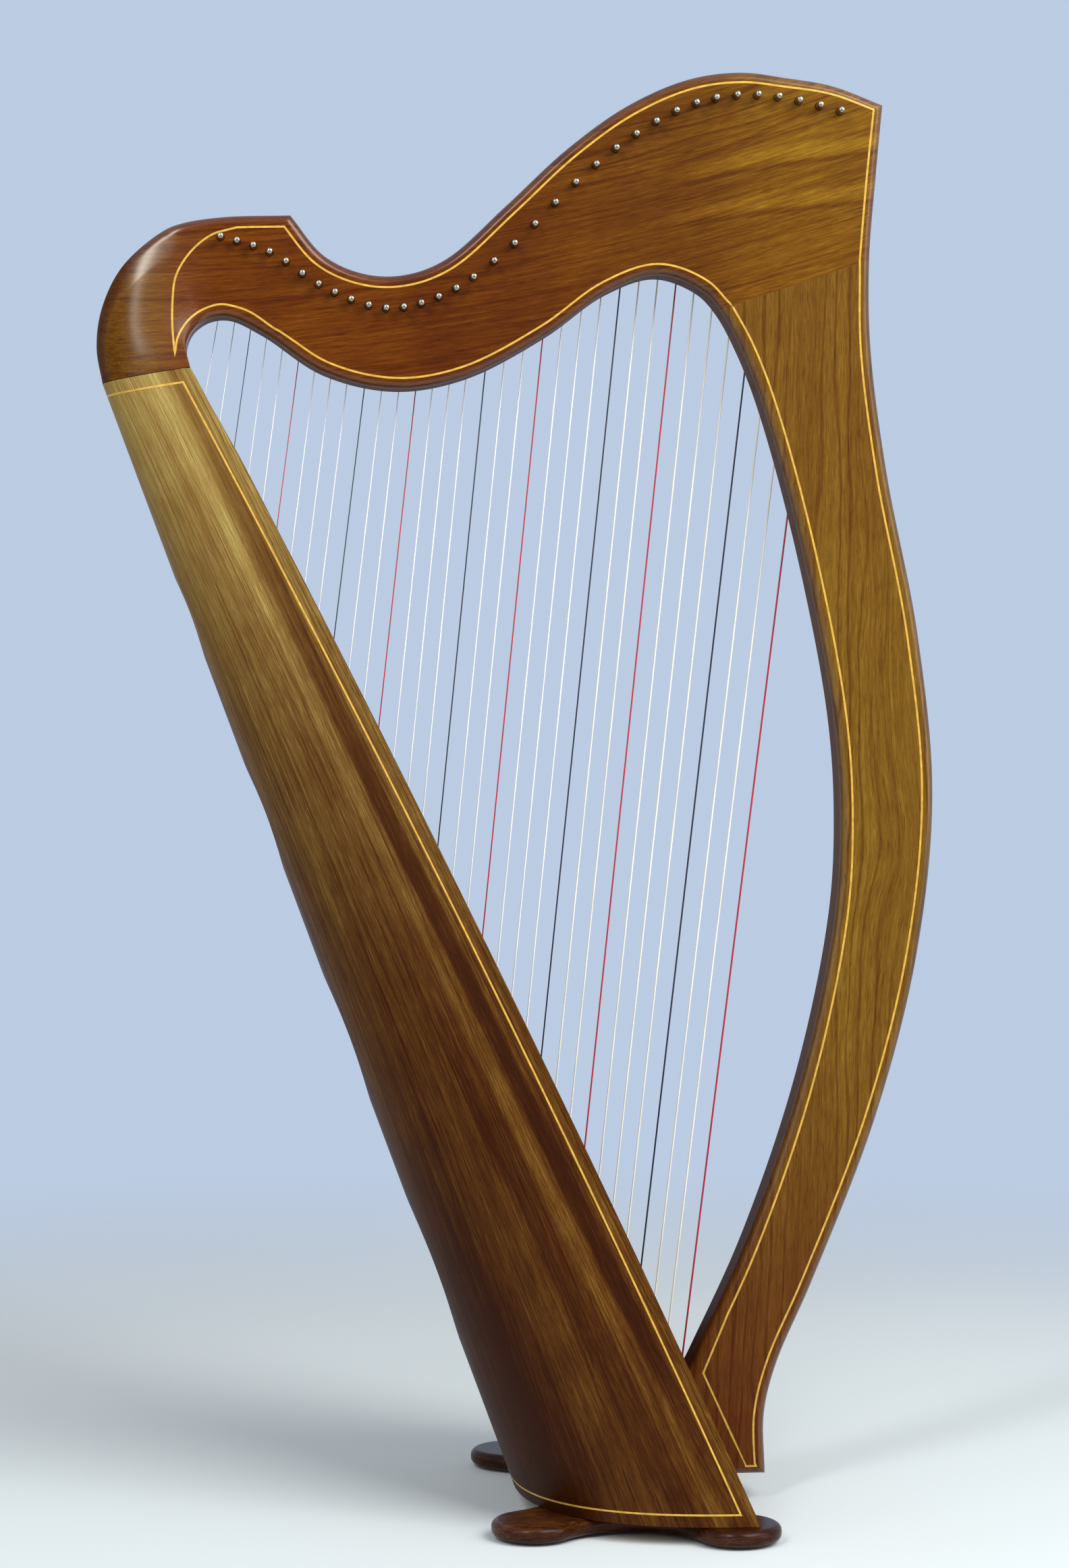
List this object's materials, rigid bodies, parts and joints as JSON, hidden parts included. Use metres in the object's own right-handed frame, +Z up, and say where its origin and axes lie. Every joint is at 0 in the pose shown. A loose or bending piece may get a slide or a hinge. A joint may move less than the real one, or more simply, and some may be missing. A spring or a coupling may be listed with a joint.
{
  "type": "harp",
  "caption": "Floor-standing folk harp with a leaning round-backed sound box, curved neck and bowed pillar, on a four-lobed base.",
  "frame": {"origin": "middle of the outline box, on the surface that the feet stand on", "axes": "+Z up, +X from the sound box towards the pillar, -Y the player's right-hand side where the pins are driven"},
  "size_m": [0.7159, 0.4018, 1.228],
  "materials": {
    "walnut": "satin oiled walnut",
    "dark_walnut": "dark satin walnut",
    "soundboard_wood": "clear satin",
    "inner_wood": "unfinished",
    "nylon": "clear and coloured nylon",
    "steel": "plain steel",
    "nickel": "nickel-plated steel",
    "felt": "felt"
  },
  "bodies": {
    "frame": {"neck": "walnut", "pillar": "walnut", "shoulder_block": "walnut", "soundbox_shell": "walnut", "soundboard": "soundboard_wood", "strings": "nylon", "string_rib": "inner_wood", "lining_left": "inner_wood", "lining_right": "inner_wood", "box_floor": "inner_wood", "pillar_block": "inner_wood", "pillar_bolt": "steel", "neck_dowel_1": "inner_wood", "neck_dowel_2": "inner_wood", "base_plate": "dark_walnut", "foot_pad_1": "felt", "foot_pad_2": "felt", "foot_pad_3": "felt", "foot_pad_4": "felt", "base_screw_1": "steel", "base_screw_2": "steel", "base_screw_3": "steel", "base_screw_4": "steel"},
    "tuning_pin_01_body": {"tuning_pin_01": "nickel"},
    "tuning_pin_02_body": {"tuning_pin_02": "nickel"},
    "tuning_pin_03_body": {"tuning_pin_03": "nickel"},
    "tuning_pin_04_body": {"tuning_pin_04": "nickel"},
    "tuning_pin_05_body": {"tuning_pin_05": "nickel"},
    "tuning_pin_06_body": {"tuning_pin_06": "nickel"},
    "tuning_pin_07_body": {"tuning_pin_07": "nickel"},
    "tuning_pin_08_body": {"tuning_pin_08": "nickel"},
    "tuning_pin_09_body": {"tuning_pin_09": "nickel"},
    "tuning_pin_10_body": {"tuning_pin_10": "nickel"},
    "tuning_pin_11_body": {"tuning_pin_11": "nickel"},
    "tuning_pin_12_body": {"tuning_pin_12": "nickel"},
    "tuning_pin_13_body": {"tuning_pin_13": "nickel"},
    "tuning_pin_14_body": {"tuning_pin_14": "nickel"},
    "tuning_pin_15_body": {"tuning_pin_15": "nickel"},
    "tuning_pin_16_body": {"tuning_pin_16": "nickel"},
    "tuning_pin_17_body": {"tuning_pin_17": "nickel"},
    "tuning_pin_18_body": {"tuning_pin_18": "nickel"},
    "tuning_pin_19_body": {"tuning_pin_19": "nickel"},
    "tuning_pin_20_body": {"tuning_pin_20": "nickel"},
    "tuning_pin_21_body": {"tuning_pin_21": "nickel"},
    "tuning_pin_22_body": {"tuning_pin_22": "nickel"},
    "tuning_pin_23_body": {"tuning_pin_23": "nickel"},
    "tuning_pin_24_body": {"tuning_pin_24": "nickel"},
    "tuning_pin_25_body": {"tuning_pin_25": "nickel"},
    "tuning_pin_26_body": {"tuning_pin_26": "nickel"},
    "tuning_pin_27_body": {"tuning_pin_27": "nickel"},
    "tuning_pin_28_body": {"tuning_pin_28": "nickel"},
    "tuning_pin_29_body": {"tuning_pin_29": "nickel"},
    "tuning_pin_30_body": {"tuning_pin_30": "nickel"},
    "tuning_pin_31_body": {"tuning_pin_31": "nickel"},
    "tuning_pin_32_body": {"tuning_pin_32": "nickel"},
    "tuning_pin_33_body": {"tuning_pin_33": "nickel"},
    "tuning_pin_34_body": {"tuning_pin_34": "nickel"}
  },
  "joints": [
    {"name": "pin_01_turn", "type": "hinge", "parent": "frame", "child": "tuning_pin_01_body", "pos_m": [-0.2528, 0, 1.0832], "axis": [0, 1, 0], "range_deg": [-720, 45]},
    {"name": "pin_02_turn", "type": "hinge", "parent": "frame", "child": "tuning_pin_02_body", "pos_m": [-0.23908, 0, 1.07971], "axis": [0, 1, 0], "range_deg": [-720, 45]},
    {"name": "pin_03_turn", "type": "hinge", "parent": "frame", "child": "tuning_pin_03_body", "pos_m": [-0.22535, 0, 1.07582], "axis": [0, 1, 0], "range_deg": [-720, 45]},
    {"name": "pin_04_turn", "type": "hinge", "parent": "frame", "child": "tuning_pin_04_body", "pos_m": [-0.21163, 0, 1.07069], "axis": [0, 1, 0], "range_deg": [-720, 45]},
    {"name": "pin_05_turn", "type": "hinge", "parent": "frame", "child": "tuning_pin_05_body", "pos_m": [-0.1979, 0, 1.06272], "axis": [0, 1, 0], "range_deg": [-720, 45]},
    {"name": "pin_06_turn", "type": "hinge", "parent": "frame", "child": "tuning_pin_06_body", "pos_m": [-0.18418, 0, 1.05266], "axis": [0, 1, 0], "range_deg": [-720, 45]},
    {"name": "pin_07_turn", "type": "hinge", "parent": "frame", "child": "tuning_pin_07_body", "pos_m": [-0.17045, 0, 1.04387], "axis": [0, 1, 0], "range_deg": [-720, 45]},
    {"name": "pin_08_turn", "type": "hinge", "parent": "frame", "child": "tuning_pin_08_body", "pos_m": [-0.15673, 0, 1.03714], "axis": [0, 1, 0], "range_deg": [-720, 45]},
    {"name": "pin_09_turn", "type": "hinge", "parent": "frame", "child": "tuning_pin_09_body", "pos_m": [-0.143, 0, 1.03122], "axis": [0, 1, 0], "range_deg": [-720, 45]},
    {"name": "pin_10_turn", "type": "hinge", "parent": "frame", "child": "tuning_pin_10_body", "pos_m": [-0.12819, 0, 1.02644], "axis": [0, 1, 0], "range_deg": [-720, 45]},
    {"name": "pin_11_turn", "type": "hinge", "parent": "frame", "child": "tuning_pin_11_body", "pos_m": [-0.11337, 0, 1.02404], "axis": [0, 1, 0], "range_deg": [-720, 45]},
    {"name": "pin_12_turn", "type": "hinge", "parent": "frame", "child": "tuning_pin_12_body", "pos_m": [-0.09856, 0, 1.02505], "axis": [0, 1, 0], "range_deg": [-720, 45]},
    {"name": "pin_13_turn", "type": "hinge", "parent": "frame", "child": "tuning_pin_13_body", "pos_m": [-0.08374, 0, 1.02849], "axis": [0, 1, 0], "range_deg": [-720, 45]},
    {"name": "pin_14_turn", "type": "hinge", "parent": "frame", "child": "tuning_pin_14_body", "pos_m": [-0.06893, 0, 1.03393], "axis": [0, 1, 0], "range_deg": [-720, 45]},
    {"name": "pin_15_turn", "type": "hinge", "parent": "frame", "child": "tuning_pin_15_body", "pos_m": [-0.05411, 0, 1.04123], "axis": [0, 1, 0], "range_deg": [-720, 45]},
    {"name": "pin_16_turn", "type": "hinge", "parent": "frame", "child": "tuning_pin_16_body", "pos_m": [-0.0393, 0, 1.05078], "axis": [0, 1, 0], "range_deg": [-720, 45]},
    {"name": "pin_17_turn", "type": "hinge", "parent": "frame", "child": "tuning_pin_17_body", "pos_m": [-0.02193, 0, 1.0645], "axis": [0, 1, 0], "range_deg": [-720, 45]},
    {"name": "pin_18_turn", "type": "hinge", "parent": "frame", "child": "tuning_pin_18_body", "pos_m": [-0.00457, 0, 1.07951], "axis": [0, 1, 0], "range_deg": [-720, 45]},
    {"name": "pin_19_turn", "type": "hinge", "parent": "frame", "child": "tuning_pin_19_body", "pos_m": [0.0128, 0, 1.09612], "axis": [0, 1, 0], "range_deg": [-720, 45]},
    {"name": "pin_20_turn", "type": "hinge", "parent": "frame", "child": "tuning_pin_20_body", "pos_m": [0.03017, 0, 1.11441], "axis": [0, 1, 0], "range_deg": [-720, 45]},
    {"name": "pin_21_turn", "type": "hinge", "parent": "frame", "child": "tuning_pin_21_body", "pos_m": [0.04753, 0, 1.13156], "axis": [0, 1, 0], "range_deg": [-720, 45]},
    {"name": "pin_22_turn", "type": "hinge", "parent": "frame", "child": "tuning_pin_22_body", "pos_m": [0.0649, 0, 1.14688], "axis": [0, 1, 0], "range_deg": [-720, 45]},
    {"name": "pin_23_turn", "type": "hinge", "parent": "frame", "child": "tuning_pin_23_body", "pos_m": [0.08198, 0, 1.16084], "axis": [0, 1, 0], "range_deg": [-720, 45]},
    {"name": "pin_24_turn", "type": "hinge", "parent": "frame", "child": "tuning_pin_24_body", "pos_m": [0.09907, 0, 1.17304], "axis": [0, 1, 0], "range_deg": [-720, 45]},
    {"name": "pin_25_turn", "type": "hinge", "parent": "frame", "child": "tuning_pin_25_body", "pos_m": [0.11615, 0, 1.18371], "axis": [0, 1, 0], "range_deg": [-720, 45]},
    {"name": "pin_26_turn", "type": "hinge", "parent": "frame", "child": "tuning_pin_26_body", "pos_m": [0.13323, 0, 1.19287], "axis": [0, 1, 0], "range_deg": [-720, 45]},
    {"name": "pin_27_turn", "type": "hinge", "parent": "frame", "child": "tuning_pin_27_body", "pos_m": [0.15032, 0, 1.19975], "axis": [0, 1, 0], "range_deg": [-720, 45]},
    {"name": "pin_28_turn", "type": "hinge", "parent": "frame", "child": "tuning_pin_28_body", "pos_m": [0.1674, 0, 1.20427], "axis": [0, 1, 0], "range_deg": [-720, 45]},
    {"name": "pin_29_turn", "type": "hinge", "parent": "frame", "child": "tuning_pin_29_body", "pos_m": [0.18522, 0, 1.20687], "axis": [0, 1, 0], "range_deg": [-720, 45]},
    {"name": "pin_30_turn", "type": "hinge", "parent": "frame", "child": "tuning_pin_30_body", "pos_m": [0.20303, 0, 1.2075], "axis": [0, 1, 0], "range_deg": [-720, 45]},
    {"name": "pin_31_turn", "type": "hinge", "parent": "frame", "child": "tuning_pin_31_body", "pos_m": [0.22085, 0, 1.20602], "axis": [0, 1, 0], "range_deg": [-720, 45]},
    {"name": "pin_32_turn", "type": "hinge", "parent": "frame", "child": "tuning_pin_32_body", "pos_m": [0.23867, 0, 1.20296], "axis": [0, 1, 0], "range_deg": [-720, 45]},
    {"name": "pin_33_turn", "type": "hinge", "parent": "frame", "child": "tuning_pin_33_body", "pos_m": [0.25648, 0, 1.19905], "axis": [0, 1, 0], "range_deg": [-720, 45]},
    {"name": "pin_34_turn", "type": "hinge", "parent": "frame", "child": "tuning_pin_34_body", "pos_m": [0.2743, 0, 1.19467], "axis": [0, 1, 0], "range_deg": [-720, 45]}
  ]
}
